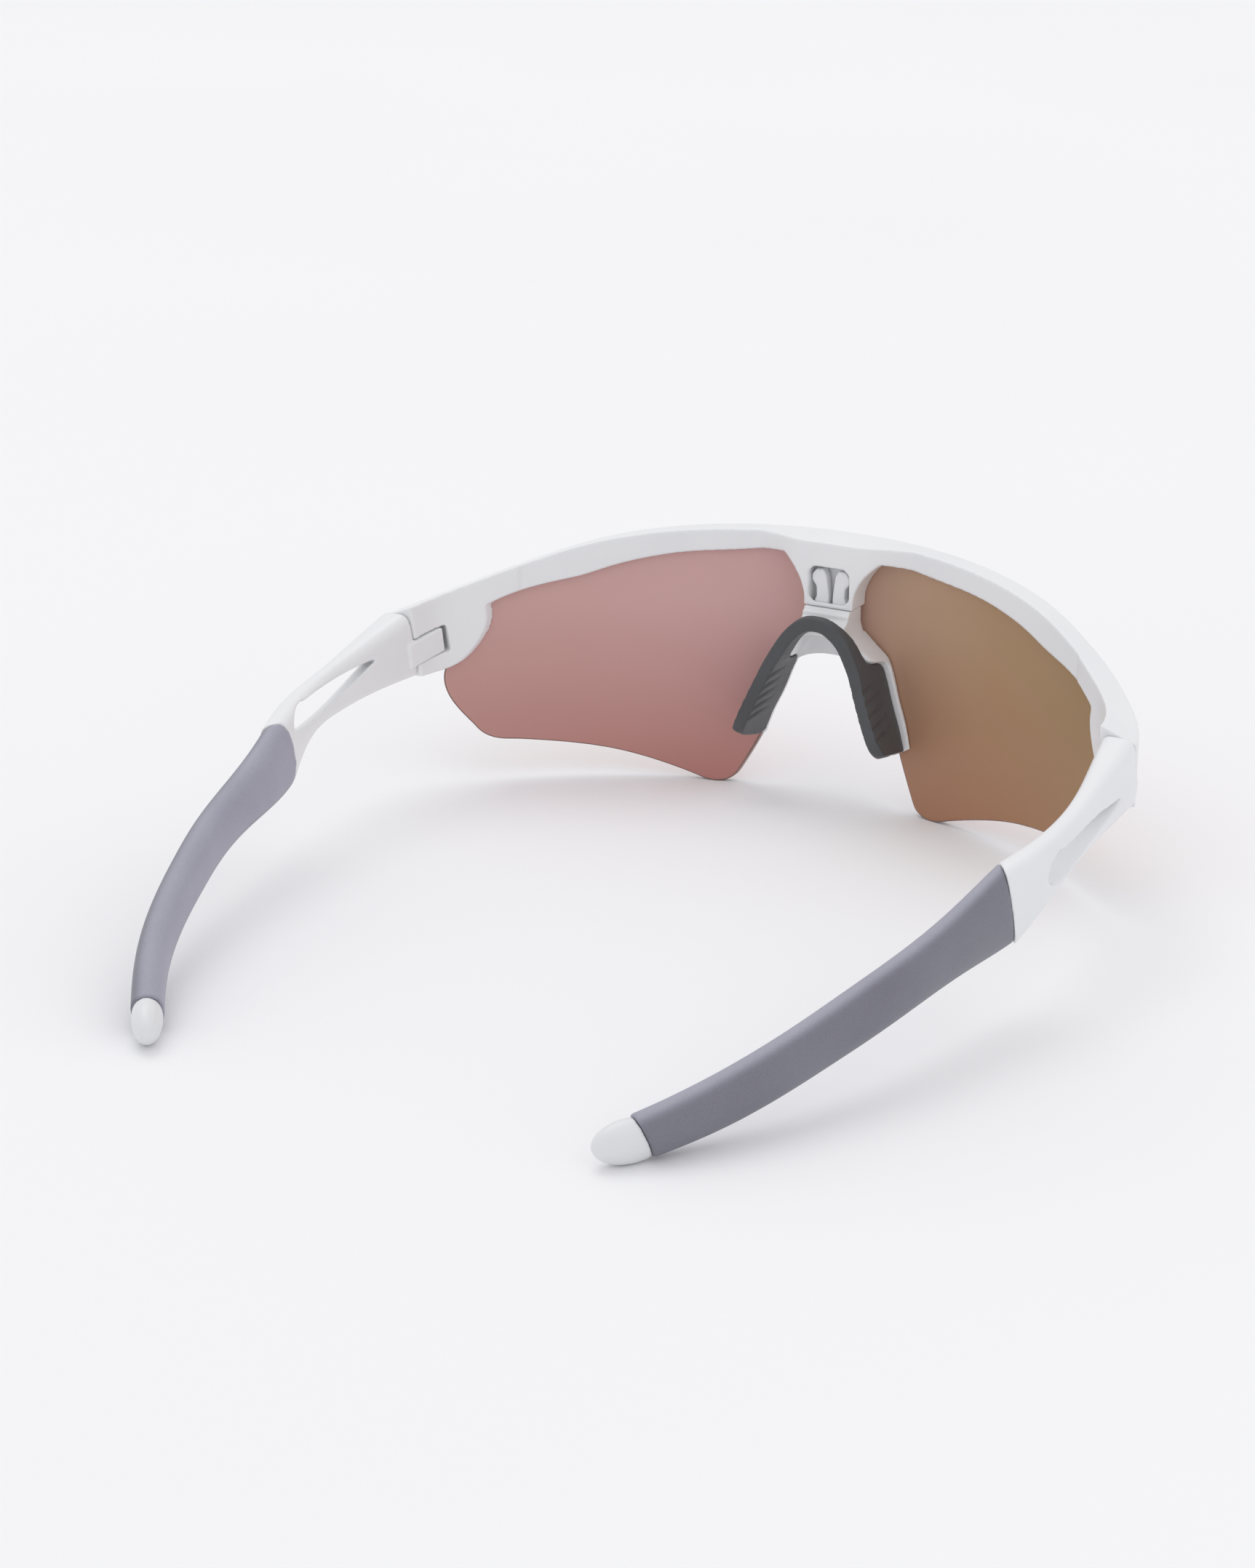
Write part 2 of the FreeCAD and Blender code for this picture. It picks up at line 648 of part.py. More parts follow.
def behind_sleeve(name, side, gap):
    """A block that holds everything behind the sleeve's rear face."""
    direction = end_direction()
    direction = Vector(side * direction.x, direction.y, direction.z)
    direction = (direction - Vector(0, 0, SLEEVE_END_TILT)).normalize()
    centre = Vector(side * TIP_CENTRE[0], TIP_CENTRE[1], TIP_CENTRE[2])
    face = centre + direction * (SLEEVE_END_SETBACK + gap)
    block = doc.addObject("Part::Box", name)
    block.Length = block.Width = block.Height = REACH
    turn = Rotation(Vector(0, 0, 1), direction)
    block.Placement = Placement(face, turn).multiply(
        Placement(Vector(-REACH / 2, -REACH / 2, 0.0), Rotation()))
    return block


def stem(name, side, grow):
    width = size("stem_half_width") + grow
    height = size("stem_half_height") + grow
    return bar(name, side, 66.0, 143.0, lambda row: width, lambda row: height,
               lambda row: 3.0)


# the window slants forwards and down on its way out through the blade
WINDOW_SIDE = 71.0
WINDOW_SLANT = (-0.6, -0.4)


def arm_window(label, side):
    """The long teardrop opening between the temple's two struts."""
    upper = [(42.5, 27.6), (50.0, 27.6), (58.0, 27.0), (65.5, 26.0)]
    end = [(65.5, 26.0), (69.3, 24.4), (70.0, 22.2), (68.0, 20.9)]
    lower = [(68.0, 20.9), (60.0, 22.2), (51.0, 24.8), (42.5, 27.6)]
    window = prism(label + "_window", "side", [upper, end, lower])
    window.Base.Placement.Base.x = side * WINDOW_SIDE
    window.Dir = Vector(side, *WINDOW_SLANT)
    return window


def blade_half_width(row):
    """The blade is thinnest beside its window and thickens again towards the sleeve."""
    waist = WAIST_THINNING * math.exp(-((row[0] - WAIST_DEPTH) / 14.0) ** 2)
    return BLADE_HALF_WIDTH - waist - max(0.0, row[0] - 60.0) * 0.03


def blade_power(row):
    """The blade is squarest at the seam, where it meets the frame's lobe flush."""
    return 3.2 + 1.8 * math.exp(-((row[0] - 24.0) / 15.0) ** 2)


def temple_arm(label, side):
    blade = bar(label + "_blade", side, 24.0, 86.0, blade_half_width, lambda row: row[3],
                blade_power)
    blade = common(label + "_blade_rear", blade,
                   behind_seam(label + "_blade_seam", 1, size("seam_gap")))
    blade = cut(label + "_blade_ahead", blade, sleeve_zone(label + "_arm_end", side, -0.1))
    half = size("tenon_height") / 2
    knuckle = hinge_cylinder(label + "_knuckle", side, "Sizes.tenon_radius", -half, half)
    tenon = hinge_prism(label + "_tenon", side, TENON_PLAN, half)
    solid = fuse(label + "_arm_solid", [blade, stem(label + "_stem", side, 0.0), knuckle, tenon])
    bore = hinge_cylinder(label + "_tenon_bore", side, "Sizes.screw_radius + Sizes.running_gap",
                          -10.0, 10.0)
    return cut(label + "_temple_arm", solid, fuse(label + "_arm_hollows",
                                                  [bore, arm_window(label, side)]))


def temple_sleeve(label, side):
    width = size("sleeve_half_width")
    body = bar(label + "_sleeve_body", side, 66.0, 150.0, lambda row: width, lambda row: row[3],
               lambda row: 2.4)
    body = common(label + "_sleeve_rear", body, sleeve_zone(label + "_sleeve_start", side, 0.0))
    body = cut(label + "_sleeve_cropped", body,
               behind_sleeve(label + "_sleeve_end", side, 0.0))
    return cut(label + "_temple_sleeve", body,
               stem(label + "_sleeve_hollow", side, size("stem_gap")))


def temple_tip(label, side):
    egg = doc.addObject("Part::Ellipsoid", label + "_egg")
    egg.setExpression("Radius1", "Sizes.tip_half_length")
    egg.setExpression("Radius2", "Sizes.tip_half_width")
    egg.setExpression("Radius3", "Sizes.tip_half_height")
    direction = end_direction()
    level = Vector(direction.y, -side * direction.x, 0).normalize()
    forward = Vector(side * direction.x, direction.y, 0).normalize()
    upright = forward.cross(level)
    turn = Rotation(level, upright, forward, "ZXY")
    centre = Vector(side * TIP_CENTRE[0], TIP_CENTRE[1], TIP_CENTRE[2])
    egg.Placement = Placement(centre, turn)
    body = common(label + "_tip_body", egg,
                  behind_sleeve(label + "_tip_root", side, 0.1))
    return cut(label + "_temple_tip", body, stem(label + "_tip_hollow", side, size("stem_gap")))


# ---------------------------------------------------------------- build and write

nodes = [front_frame(), shield_lens(), nose_bracket(), nose_pad()]
for label, side in SIDES.items():
    nodes.append(hinge_screw(label, side))
    nodes.append(temple_arm(label, side))
    nodes.append(temple_sleeve(label, side))
    nodes.append(temple_tip(label, side))

doc.recompute()

for node in nodes:
    node.Label = node.Name
    node.setExpression("Placement.Base.y", "-Sizes.drawn_centre")
doc.recompute()

broken = [item.Name for item in doc.Objects if set(item.State) & {"Invalid", "Error"}]
if broken:
    raise RuntimeError("features that did not build: " + ", ".join(broken))
for node in nodes:
    if node.Shape.isNull() or not node.Shape.isValid() or not node.Shape.Solids:
        raise RuntimeError("bad shape: " + node.Label)

os.makedirs("parts", exist_ok=True)
whole = FreeCAD.BoundBox()
for node in nodes:
    node.Shape.exportStep(os.path.join("parts", node.Label + ".step"))
    whole.add(node.Shape.BoundBox)
    print(f"{node.Label:24s} solids {len(node.Shape.Solids)}  volume {node.Shape.Volume:9.1f}")
print(f"x {whole.XMin:.2f} {whole.XMax:.2f}  y {whole.YMin:.2f} {whole.YMax:.2f}"
      f"  z {whole.ZMin:.2f} {whole.ZMax:.2f}")
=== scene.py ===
import math

import bmesh
import bpy
import numpy as np
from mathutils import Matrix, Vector
from mathutils.geometry import delaunay_2d_cdt


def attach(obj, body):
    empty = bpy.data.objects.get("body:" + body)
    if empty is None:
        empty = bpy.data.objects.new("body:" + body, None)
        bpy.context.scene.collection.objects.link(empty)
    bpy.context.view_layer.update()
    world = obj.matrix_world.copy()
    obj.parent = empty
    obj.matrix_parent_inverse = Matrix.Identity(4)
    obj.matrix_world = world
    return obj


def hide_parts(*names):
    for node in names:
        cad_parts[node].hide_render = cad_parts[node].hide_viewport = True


# Looks for the wraparound sport sunglasses. Metres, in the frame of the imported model:
# +X is the wearer's left, -Y the direction of gaze, +Z up, floor at z = 0.

MM = 0.001
SIDES = ("left", "right")
# the origin of the drawings in the part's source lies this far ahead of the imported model's middle
DRAWN_CENTRE = 72.0

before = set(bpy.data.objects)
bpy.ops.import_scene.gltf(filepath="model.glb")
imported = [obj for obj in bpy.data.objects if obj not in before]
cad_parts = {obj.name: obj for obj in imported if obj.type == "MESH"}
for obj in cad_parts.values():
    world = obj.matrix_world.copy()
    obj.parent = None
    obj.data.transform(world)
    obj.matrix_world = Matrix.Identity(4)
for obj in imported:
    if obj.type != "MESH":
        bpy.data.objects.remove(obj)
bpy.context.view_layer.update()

# ---------------------------------------------------------------- camera, light and floor

CAMERA_PLACE = Vector((-245.8, 434.9, 206.6)) * MM
CAMERA_BACK = Vector((-0.4638, 0.8177, 0.3409))
CAMERA_LENS = 74.48
CAMERA_NEAR = 0.01
FLOOR_SIZE = 6.0
BACKDROP = (0.885, 0.885, 0.9, 1.0)
BACKDROP_STRENGTH = 0.95
# each sun's strength, its width in degrees and the way it shines
SUNS = {
    "key": (0.48, 40, (-0.35, 0.25, -1.0)),
    "rim": (0.1, 45, (0.9, -0.3, -0.9)),
}


def add_camera():
    camera = new_object("camera", bpy.data.cameras.new("camera"))
    camera.location = CAMERA_PLACE
    camera.rotation_mode = "QUATERNION"
    camera.rotation_quaternion = CAMERA_BACK.to_track_quat("Z", "Y")
    camera.data.lens = CAMERA_LENS
    camera.data.clip_start = CAMERA_NEAR
    bpy.context.scene.camera = camera


def add_sun(name, strength, angle, towards):
    sun = new_object(name, bpy.data.lights.new(name, "SUN"))
    sun.data.energy = strength
    sun.data.angle = math.radians(angle)
    sun.rotation_mode = "QUATERNION"
    sun.rotation_quaternion = Vector(towards).to_track_quat("-Z", "Y")


def add_light():
    world = bpy.data.worlds.new("studio")
    world.use_nodes = True
    background = world.node_tree.nodes["Background"]
    background.inputs["Color"].default_value = BACKDROP
    background.inputs["Strength"].default_value = BACKDROP_STRENGTH
    bpy.context.scene.world = world
    bpy.context.scene.view_settings.view_transform = "Standard"
    for name, (strength, angle, towards) in SUNS.items():
        add_sun(name, strength, angle, towards)


def add_floor():
    mesh = bpy.data.meshes.new("floor")
    half = FLOOR_SIZE / 2
    corners = [(-half, -half, 0), (half, -half, 0), (half, half, 0), (-half, half, 0)]
    mesh.from_pydata(corners, [], [(0, 1, 2, 3)])
    floor = new_object("floor", mesh)
    floor.data.materials.append(floor_material())


# ---------------------------------------------------------------- materials

# half the lens's width, over which its tints change
LENS_SPAN = 66.0 * MM
# heights between which the lens goes from its lower to its upper tint, on each face
REAR_TINT_LOW = 2.0 * MM
REAR_TINT_HIGH = 34.0 * MM
MIRROR_TINT_LOW = 20.0 * MM
MIRROR_TINT_HIGH = 60.0 * MM
# places on a noise's scale where its darker and its lighter tone are full
TONE_STOPS = (0.3, 0.7)
RUBBER_TONE_STOPS = (0.3, 0.72)
# noise scale of the finest moulding grain, and its depth on each material
GRAIN_SCALE = 5200.0
NYLON_GRAIN = 0.04 * MM
RUBBER_GRAIN = 0.05 * MM
# how far a face turns towards the head or the sky where its painted light starts and where it is
# full; such faces are painted lighter, as if lit
PAINTED_LIGHT_START = -0.3
PAINTED_LIGHT_FULL = 0.9
PAINTED_LIGHT_UPWARD_SHARE = 0.75


class Shader:
    """A Principled material with short calls to add and join its nodes."""

    def __init__(self, name):
        self.material = bpy.data.materials.new(name)
        self.material.use_nodes = True
        self.tree = self.material.node_tree
        self.principled = self.tree.nodes["Principled BSDF"]
        self.texture = self.add("ShaderNodeTexCoord").outputs
        self.place = self.texture["Object"]

    def add(self, kind, **settings):
        node = self.tree.nodes.new(kind)
        for key, value in settings.items():
            setattr(node, key, value)
        return node

    def join(self, output, target):
        self.tree.links.new(output, target)

    def noise(self, scale, detail=2.0):
        node = self.add("ShaderNodeTexNoise")
        node.inputs["Scale"].default_value = scale
        node.inputs["Detail"].default_value = detail
        self.join(self.place, node.inputs["Vector"])
        return node.outputs["Fac"]

    def ramp(self, factor, stops):
        node = self.add("ShaderNodeValToRGB")
        band = node.color_ramp
        while len(band.elements) < len(stops):
            band.elements.new(0.5)
        for element, (position, colour) in zip(band.elements, stops):
            element.position = position
            element.color = (*colour, 1.0)
        self.join(factor, node.inputs["Fac"])
        return node.outputs["Color"]

    def mottled(self, scale, detail, dark, light):
        """Two tones mixed unevenly by noise."""
        return self.ramp(self.noise(scale, detail), list(zip(TONE_STOPS, (dark, light))))

    def mix(self, factor, first, second):
        node = self.add("ShaderNodeMix", data_type="RGBA")
        self.join(factor, node.inputs["Factor"])
        self.join(first, node.inputs["A"])
        self.join(second, node.inputs["B"])
        return node.outputs["Result"]

    def along(self, axis, low, high):
        """0 to 1 as the object coordinate on one axis goes from low to high."""
        parts = self.add("ShaderNodeSeparateXYZ")
        self.join(self.place, parts.inputs["Vector"])
        span = self.add("ShaderNodeMapRange")
        span.inputs["From Min"].default_value = low
        span.inputs["From Max"].default_value = high
        self.join(parts.outputs[axis], span.inputs["Value"])
        return span.outputs["Result"]

    def arithmetic(self, operation, *terms):
        """A maths node on outputs and plain numbers."""
        node = self.add("ShaderNodeMath", operation=operation)
        for socket, term in zip(node.inputs, terms):
            if isinstance(term, float):
                socket.default_value = term
            else:
                self.join(term, socket)
        return node.outputs["Value"]

    def painted_light_side(self):
        """Painted light mask: 0 on faces that look away from the head, 1 on lit faces towards it or
        upwards.
        """
        normal = self.add("ShaderNodeSeparateXYZ")
        self.join(self.texture["Normal"], normal.inputs["Vector"])
        place = self.add("ShaderNodeSeparateXYZ")
        self.join(self.place, place.inputs["Vector"])
        side = self.arithmetic("SIGN", place.outputs["X"])
        outward = self.arithmetic("MULTIPLY", normal.outputs["X"], side)
        upward = self.arithmetic("MULTIPLY", normal.outputs["Z"], PAINTED_LIGHT_UPWARD_SHARE)
        span = self.add("ShaderNodeMapRange", interpolation_type="SMOOTHSTEP")
        span.inputs["From Min"].default_value = PAINTED_LIGHT_START
        span.inputs["From Max"].default_value = PAINTED_LIGHT_FULL
        self.join(self.arithmetic("SUBTRACT", upward, outward), span.inputs["Value"])
        return span.outputs["Result"]

    def colour(self, output):
        self.join(output, self.principled.inputs["Base Color"])

    def roughness(self, factor, low, high):
        span = self.add("ShaderNodeMapRange")
        span.inputs["To Min"].default_value = low
        span.inputs["To Max"].default_value = high
        self.join(factor, span.inputs["Value"])
        self.join(span.outputs["Result"], self.principled.inputs["Roughness"])

    def bump(self, height, strength, distance):
        node = self.add("ShaderNodeBump")
        node.inputs["Strength"].default_value = strength
        node.inputs["Distance"].default_value = distance
        self.join(height, node.inputs["Height"])
        self.join(node.outputs["Normal"], self.principled.inputs["Normal"])

    def fixed(self, **values):
        for key, value in values.items():
            self.principled.inputs[key.replace("_", " ")].default_value = value
        return self.material


def floor_material():
    shader = Shader("floor_paper")
    shader.colour(shader.mottled(3.0, 2.0, (0.905, 0.905, 0.92), (0.915, 0.915, 0.93)))
    shader.roughness(shader.noise(40.0), 0.85, 0.95)
    return shader.fixed()


def nylon_material(name, light, dark):
    """White satin injection-moulded nylon: a very fine grain and faint broad tone changes."""
    shader = Shader(name)
    shader.colour(shader.mottled(45.0, 3.0, dark, light))
    shader.roughness(shader.noise(900.0, 4.0), 0.3, 0.44)
    shader.bump(shader.noise(GRAIN_SCALE, 2.0), 0.12, NYLON_GRAIN)
    return shader.fixed(Coat_Weight=0.12, Coat_Roughness=0.3)


def rubber_material(name, light, dark, low_rough, high_rough, painted_light_tone=1.0):
    """Soft moulded rubber: matte, with a fine-grained skin and slightly uneven tone.

    The tone of its faces towards the head and the sky is multiplied by the painted light factor,
    which paints those lit sides lighter."""
    shader = Shader(name)
    mottle = shader.noise(70.0, 4.0)

    def tones(factor):
        scaled = [[part * factor for part in colour] for colour in (dark, light)]
        return shader.ramp(mottle, list(zip(RUBBER_TONE_STOPS, scaled)))

    tone = tones(1.0)
    # painted light: faces towards the head and the sky get a lighter, lit copy of the tone
    if painted_light_tone != 1.0:
        tone = shader.mix(shader.painted_light_side(), tone, tones(painted_light_tone))
    speck = shader.ramp(shader.noise(GRAIN_SCALE, 2.0), [(0.4, (0.9, 0.9, 0.9)),
                                                         (0.62, (1.0, 1.0, 1.0))])
    product = shader.add("ShaderNodeMix", data_type="RGBA", blend_type="MULTIPLY")
    product.inputs["Factor"].default_value = 1.0
    shader.join(tone, product.inputs["A"])
    shader.join(speck, product.inputs["B"])
    shader.colour(product.outputs["Result"])
    shader.roughness(shader.noise(1500.0, 3.0), low_rough, high_rough)
    shader.bump(shader.noise(GRAIN_SCALE, 3.0), 0.25, RUBBER_GRAIN)
    return shader.fixed(Sheen_Weight=0.12, Sheen_Roughness=0.5)


def lens_rear_material():
    """The tinted inner face: rose on the wearer's left, bronze on the right, deeper at the foot."""
    shader = Shader("lens_rear_tint")
    head = shader.ramp(shader.along("X", -LENS_SPAN, LENS_SPAN),
                       [(0.0, (0.335, 0.23, 0.115)), (0.25, (0.41, 0.255, 0.14)),
                        (0.42, (0.49, 0.315, 0.22)), (0.6, (0.62, 0.375, 0.36)),
                        (1.0, (0.585, 0.35, 0.32))])
    foot = shader.ramp(shader.along("X", -LENS_SPAN, LENS_SPAN),
                       [(0.0, (0.345, 0.175, 0.085)), (0.25, (0.375, 0.18, 0.095)),
                        (0.42, (0.385, 0.19, 0.12)), (0.6, (0.455, 0.195, 0.17)),
                        (1.0, (0.475, 0.225, 0.20))])
    shader.colour(shader.mix(shader.along("Z", REAR_TINT_LOW, REAR_TINT_HIGH), foot, head))
    shader.roughness(shader.noise(25.0), 0.42, 0.5)
    return shader.fixed(Coat_Weight=0.08, Coat_Roughness=0.2, IOR=1.42)


def lens_front_material():
    """The mirror coating on the outer face: ruby in the middle, warmer gold towards the ends."""
    shader = Shader("lens_mirror_coating")
    across = shader.ramp(shader.along("X", -LENS_SPAN, LENS_SPAN),
                         [(0.0, (0.48, 0.27, 0.10)), (0.3, (0.46, 0.13, 0.08)),
                          (0.5, (0.42, 0.08, 0.09)), (0.7, (0.46, 0.13, 0.08)),
                          (1.0, (0.48, 0.27, 0.10))])
    upper = shader.mottled(18.0, 1.0, (0.54, 0.13, 0.18), (0.62, 0.27, 0.12))
    shader.colour(shader.mix(shader.along("Z", MIRROR_TINT_LOW, MIRROR_TINT_HIGH), across, upper))
    shader.roughness(shader.noise(30.0), 0.1, 0.16)
    return shader.fixed(Metallic=0.5, Coat_Weight=0.5, Coat_Roughness=0.05)


def lens_edge_material():
    """The cut edge of the lens, much deeper in tint than its faces."""
    shader = Shader("lens_cut_edge")
    shader.colour(shader.mottled(300.0, 2.0, (0.20, 0.105, 0.085), (0.27, 0.15, 0.12)))
    shader.roughness(shader.noise(800.0), 0.2, 0.35)
    return shader.fixed(Coat_Weight=0.3, Coat_Roughness=0.1)


def steel_material():
    shader = Shader("screw_steel")
    shader.colour(shader.mottled(900.0, 3.0, (0.5, 0.5, 0.52), (0.64, 0.64, 0.66)))
    shader.roughness(shader.noise(2500.0, 3.0), 0.22, 0.4)
    return shader.fixed(Metallic=1.0)


# ---------------------------------------------------------------- mesh work

# voxel size and relaxing steps for each kind of moulded piece; more steps round its edges further
SOFTNESS = {
    "front_frame": (0.22 * MM, 16),
    "nose_bracket": (0.17 * MM, 14),
    "nose_pad": (0.15 * MM, 34),
    "arm": (0.22 * MM, 14),
    "sleeve": (0.3 * MM, 6),
    "tip": (0.26 * MM, 5),
}
RELAX_FACTOR = 0.5
WELD = 0.002 * MM


def new_object(name, data):
    piece = bpy.data.objects.new(name, data)
    bpy.context.scene.collection.objects.link(piece)
    return piece


def coordinates(mesh):
    points = np.empty(len(mesh.vertices) * 3)
    mesh.vertices.foreach_get("co", points)
    return points.reshape(-1, 3)


def set_coordinates(mesh, points):
    mesh.vertices.foreach_set("co", np.ascontiguousarray(points, dtype=np.float32).ravel())
    mesh.update()


def copy_of(node, name):
    """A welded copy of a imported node's mesh, as a new object."""
    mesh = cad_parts[node].data.copy()
    mesh.name = name
    welded = bmesh.new()
    welded.from_mesh(mesh)
    bmesh.ops.remove_doubles(welded, verts=welded.verts, dist=WELD)
    welded.to_mesh(mesh)
    welded.free()
    return new_object(name, mesh)


def settle(piece):
    """Applies the piece's modifiers to its mesh."""
    evaluated = piece.evaluated_get(bpy.context.evaluated_depsgraph_get())
    mesh = bpy.data.meshes.new_from_object(evaluated)
    piece.modifiers.clear()
    piece.data = mesh


def relaxed(piece, steps, group=""):
    """Smooths the piece, or the part of it that a vertex group weights."""
    relax = piece.modifiers.new("relax", "SMOOTH")
    relax.factor = RELAX_FACTOR
    relax.iterations = steps
    relax.vertex_group = group
    settle(piece)
    piece.data.shade_smooth()


def soften(piece, kind):
    """Remeshes to even quads and relaxes them, which rounds every edge by a few voxels."""
    voxel, steps = SOFTNESS[kind]
    remesh = piece.modifiers.new("remesh", "REMESH")
    remesh.mode = "VOXEL"
    remesh.voxel_size = voxel
    relaxed(piece, steps)


def finish_piece(piece, body, node, material):
    piece.data.materials.clear()
    piece.data.materials.append(material)
    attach(piece, body)
    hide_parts(node)


# ---------------------------------------------------------------- lens

WRAP_RADIUS = 84.8 * MM
ARCH_RADIUS = 221.0 * MM
LENS_LEAN = math.radians(7.2)
WRAP_AXIS = Vector((0.0, 80.2 - DRAWN_CENTRE, 26.3)) * MM
LENS_THICKNESS = 1.6 * MM
OUTLINE_STEP = 0.4 * MM
FILL_STEP = 1.6 * MM
EDGE_ROUND = 0.28 * MM
EDGE_SUPPORT = 0.75 * MM
OUTLINE_SMOOTHING = 4
ON_FACE = 0.02 * MM
SURFACE_STEPS = 8
TRIANGLE_TOLERANCE = 1e-5
INSIDE_TRIANGLES = 1
REAR_SLOT, FRONT_SLOT, EDGE_SLOT = 0, 1, 2


def lens_offset(points):
    """Distance of points ahead of the lens's rear face, and the directions that it grows in."""
    across = points[:, 0]
    depth = points[:, 1] - WRAP_AXIS.y
    rise = points[:, 2] - WRAP_AXIS.z
    level = math.cos(LENS_LEAN) * depth + math.sin(LENS_LEAN) * rise
    upright = -math.sin(LENS_LEAN) * depth + math.cos(LENS_LEAN) * rise
    radius = np.hypot(across, level)
    ring = WRAP_RADIUS - ARCH_RADIUS
    outward = radius - ring
    distance = np.hypot(outward, upright)
    radial = outward / distance
    lift = upright / distance
    unit_level = radial * level / radius
    direction = np.stack([radial * across / radius,
                          math.cos(LENS_LEAN) * unit_level - math.sin(LENS_LEAN) * lift,
                          math.sin(LENS_LEAN) * unit_level + math.cos(LENS_LEAN) * lift], axis=1)
    return distance - ARCH_RADIUS, direction


def lens_outline():
    """Even steps round the lens in the front view, as (x, z) of its rear face's edge."""
    welded = bmesh.new()
    welded.from_mesh(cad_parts["shield_lens"].data)
    bmesh.ops.remove_doubles(welded, verts=welded.verts, dist=WELD)
    points = np.array([vertex.co[:] for vertex in welded.verts])
    on_rear = np.abs(lens_offset(points)[0]) < ON_FACE
    rear_faces = {face.index for face in welded.faces
                  if all(on_rear[vertex.index] for vertex in face.verts)}
    following = {}
    for face in welded.faces:
        if face.index in rear_faces:
            for loop in face.loops:
                if not all(other.index in rear_faces for other in loop.edge.link_faces):
                    following[loop.vert.index] = loop.link_loop_next.vert.index
    welded.free()
    start = next(iter(following))
    ring = [start]
    while following[ring[-1]] != start:
        ring.append(following[ring[-1]])
    corners = points[ring + [start]][:, [0, 2]]
    travelled = np.concatenate([[0.0], np.cumsum(np.hypot(*np.diff(corners, axis=0).T))])
    stops = np.linspace(0.0, travelled[-1], round(travelled[-1] / OUTLINE_STEP), endpoint=False)
    even = np.stack([np.interp(stops, travelled, corners[:, axis]) for axis in (0, 1)], axis=1)
    for _ in range(OUTLINE_SMOOTHING):
        even = (np.roll(even, 1, axis=0) + 2 * even + np.roll(even, -1, axis=0)) / 4
    return even


def on_lens(flat, offset):
    """Points on the lens at front-view places, a given way ahead of its rear face."""
    points = np.zeros((len(flat), 3))
    points[:, 0] = flat[:, 0]
    points[:, 2] = flat[:, 1]
    points[:, 1] = WRAP_AXIS.y - np.sqrt(WRAP_RADIUS ** 2 - flat[:, 0] ** 2)
    for _ in range(SURFACE_STEPS):
        error, direction = lens_offset(points)
        points[:, 1] += (offset - error) / direction[:, 1]
    return points


def inside(flat, ring):
    """Which front-view places lie inside a closed ring."""
    after = np.roll(ring, -1, axis=0)
    result = np.zeros(len(flat), dtype=bool)
    for (x0, z0), (x1, z1) in zip(ring, after):
        if z0 != z1:
            spans = (flat[:, 1] > z0) != (flat[:, 1] > z1)
            result ^= spans & (flat[:, 0] < x0 + (flat[:, 1] - z0) * (x1 - x0) / (z1 - z0))
    return result


def filled(ring):
    """The ring filled with an even grid: front-view places and triangles between them."""
    low, high = ring.min(axis=0), ring.max(axis=0)
    across, up = np.meshgrid(np.arange(low[0], high[0], FILL_STEP),
                             np.arange(low[1], high[1], FILL_STEP))
    grid = np.stack([across.ravel(), up.ravel()], axis=1)
    grid = grid[inside(grid, ring)]
    nearest = np.array([np.hypot(*(ring - place).T).min() for place in grid])
    grid = grid[nearest > FILL_STEP / 2]
    places = np.concatenate([ring, grid])
    count = len(ring)
    edges = [(index, (index + 1) % count) for index in range(count)]
    result = delaunay_2d_cdt([Vector(place / MM) for place in places], edges, [],
                             INSIDE_TRIANGLES, TRIANGLE_TOLERANCE)
    origin = [sources[0] for sources in result[3]]
    return places, [[origin[corner] for corner in triangle] for triangle in result[2]]


def edge_rings(outline, inward):
    """Rings of points over the lens's edge, from the rear face round to the front face."""
    slope = EDGE_ROUND * (1 - math.sqrt(0.5))
    profile = [(EDGE_SUPPORT, 0.0), (EDGE_ROUND, 0.0), (slope, slope), (0.0, EDGE_ROUND)]
    rear, front = [], []
    for inset, depth in profile:
        flat = outline + inward * inset
        rear.append(on_lens(flat, 0.0) - (0.0, depth, 0.0))
        front.append(on_lens(flat, LENS_THICKNESS) + (0.0, depth, 0.0))
    return rear + front[::-1]


def inward_steps(outline):
    """Unit vectors in the front view from the outline towards the lens's middle."""
    forward = np.roll(outline, -1, axis=0) - np.roll(outline, 1, axis=0)
    forward /= np.hypot(*forward.T)[:, None]
    inward = np.stack([-forward[:, 1], forward[:, 0]], axis=1)
    starts_inside = inside(outline[:1] + inward[:1] * EDGE_ROUND, outline)[0]
    return inward if starts_inside else -inward


def lens_mesh():
    """The lens: two toric faces and a cut edge that is rounded over where it meets them."""
    outline = lens_outline()
    inward = inward_steps(outline)
    rings = edge_rings(outline, inward)
    count = len(outline)
    last = len(rings) - 1
    vertices = np.concatenate(rings)
    faces, slots = [], []
    for level in range(last):
        near, far = level * count, (level + 1) * count
        slot = {0: REAR_SLOT, last - 1: FRONT_SLOT}.get(level, EDGE_SLOT)
        for index in range(count):
            after = (index + 1) % count
            faces.append([near + index, near + after, far + after, far + index])
            slots.append(slot)
    places, triangles = filled(outline + inward * EDGE_SUPPORT)
    sheets = ((REAR_SLOT, 0.0, 0), (FRONT_SLOT, LENS_THICKNESS, last * count))
    for slot, offset, ring_start in sheets:
        grid_start = len(vertices) - count
        vertices = np.concatenate([vertices, on_lens(places[count:], offset)])
        for triangle in triangles:
            faces.append([corner + (ring_start if corner < count else grid_start)
                          for corner in triangle])
            slots.append(slot)
    mesh = bpy.data.meshes.new("lens_shield")
    mesh.from_pydata(vertices.tolist(), [], faces)
    mesh.polygons.foreach_set("material_index", slots)
    return mesh


